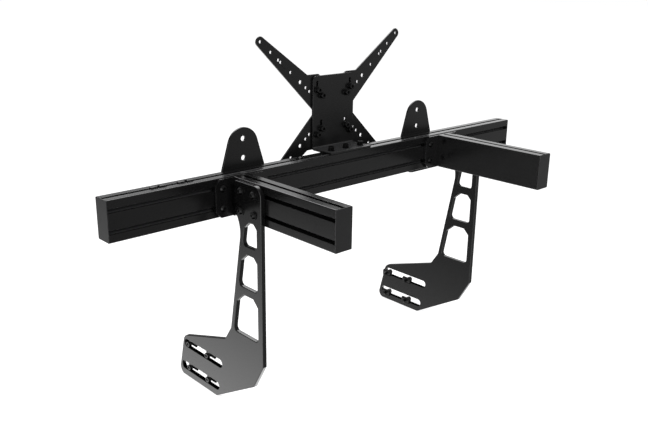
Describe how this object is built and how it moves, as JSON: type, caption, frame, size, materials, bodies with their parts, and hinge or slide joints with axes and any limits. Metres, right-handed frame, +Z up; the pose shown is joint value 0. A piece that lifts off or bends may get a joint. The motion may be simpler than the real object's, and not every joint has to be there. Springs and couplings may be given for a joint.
{
  "type": "cockpit monitor mount",
  "caption": "Black cockpit monitor mount: slotted crossbar with a bent screen plate and spread screen arms, upright tabs, and slotted arms carrying windowed side plates.",
  "frame": {"origin": "middle of the crossbar's top slot, level with the crossbar's top", "axes": "+X along the crossbar, +Y towards the screen side, +Z up; the arms reach towards -Y"},
  "size_m": [1.204, 0.5105, 0.7741],
  "materials": {
    "profile": "black anodised extrusion, satin",
    "end_cap": "fine-grained black moulded plastic",
    "side_plate": "black powder coat, smooth satin",
    "bracket": "black powder coat, smooth satin",
    "fastener": "black oxide screws, washers and nuts"
  },
  "bodies": {
    "crossbar": {"crossbar": "profile", "crossbar_left_cap": "end_cap", "crossbar_right_cap": "end_cap", "crossbar_spare_nuts": "fastener"},
    "screen_bracket": {"screen_plate": "bracket", "flange_bolts": "fastener", "flange_washers": "fastener", "flange_nuts": "fastener", "upper_left_screen_arm": "bracket", "upper_right_screen_arm": "bracket", "lower_left_screen_arm": "bracket", "lower_right_screen_arm": "bracket", "screen_bolts": "fastener", "screen_washers": "fastener", "screen_nuts": "fastener"},
    "left_arm": {"left_arm": "profile", "left_arm_cap": "end_cap", "left_joining_plate": "side_plate", "left_joining_bolts": "fastener", "left_joining_nuts": "fastener", "left_arm_screws": "fastener"},
    "left_side_plate": {"left_side_plate": "side_plate", "left_side_bolts": "fastener", "left_side_washers": "fastener", "left_side_nuts": "fastener", "left_clamp_screws": "fastener", "left_clamp_nuts": "fastener"},
    "left_tab": {"left_tab": "bracket", "left_tab_bolts": "fastener", "left_tab_nuts": "fastener"},
    "right_arm": {"right_arm": "profile", "right_arm_cap": "end_cap", "right_joining_plate": "side_plate", "right_joining_bolts": "fastener", "right_joining_nuts": "fastener", "right_arm_screws": "fastener"},
    "right_side_plate": {"right_side_plate": "side_plate", "right_side_bolts": "fastener", "right_side_washers": "fastener", "right_side_nuts": "fastener", "right_clamp_screws": "fastener", "right_clamp_nuts": "fastener"},
    "right_tab": {"right_tab": "bracket", "right_tab_bolts": "fastener", "right_tab_nuts": "fastener"}
  },
  "joints": [
    {"name": "screen_bracket_slide", "type": "slide", "parent": "crossbar", "child": "screen_bracket", "axis": [1, 0, 0], "range_m": [-0.07, 0.07]},
    {"name": "left_tab_slide", "type": "slide", "parent": "crossbar", "child": "left_tab", "axis": [1, 0, 0], "range_m": [-0.25, 0.07]},
    {"name": "right_tab_slide", "type": "slide", "parent": "crossbar", "child": "right_tab", "axis": [1, 0, 0], "range_m": [-0.065, 0.27]},
    {"name": "left_arm_slide", "type": "slide", "parent": "crossbar", "child": "left_arm", "axis": [1, 0, 0], "range_m": [-0.22, 0.2]},
    {"name": "right_arm_slide", "type": "slide", "parent": "crossbar", "child": "right_arm", "axis": [1, 0, 0], "range_m": [-0.2, 0.22]},
    {"name": "left_side_plate_slide", "type": "slide", "parent": "left_arm", "child": "left_side_plate", "axis": [0, 1, 0], "range_m": [-0.19, 0.01]},
    {"name": "right_side_plate_slide", "type": "slide", "parent": "right_arm", "child": "right_side_plate", "axis": [0, 1, 0], "range_m": [-0.19, 0.01]}
  ]
}
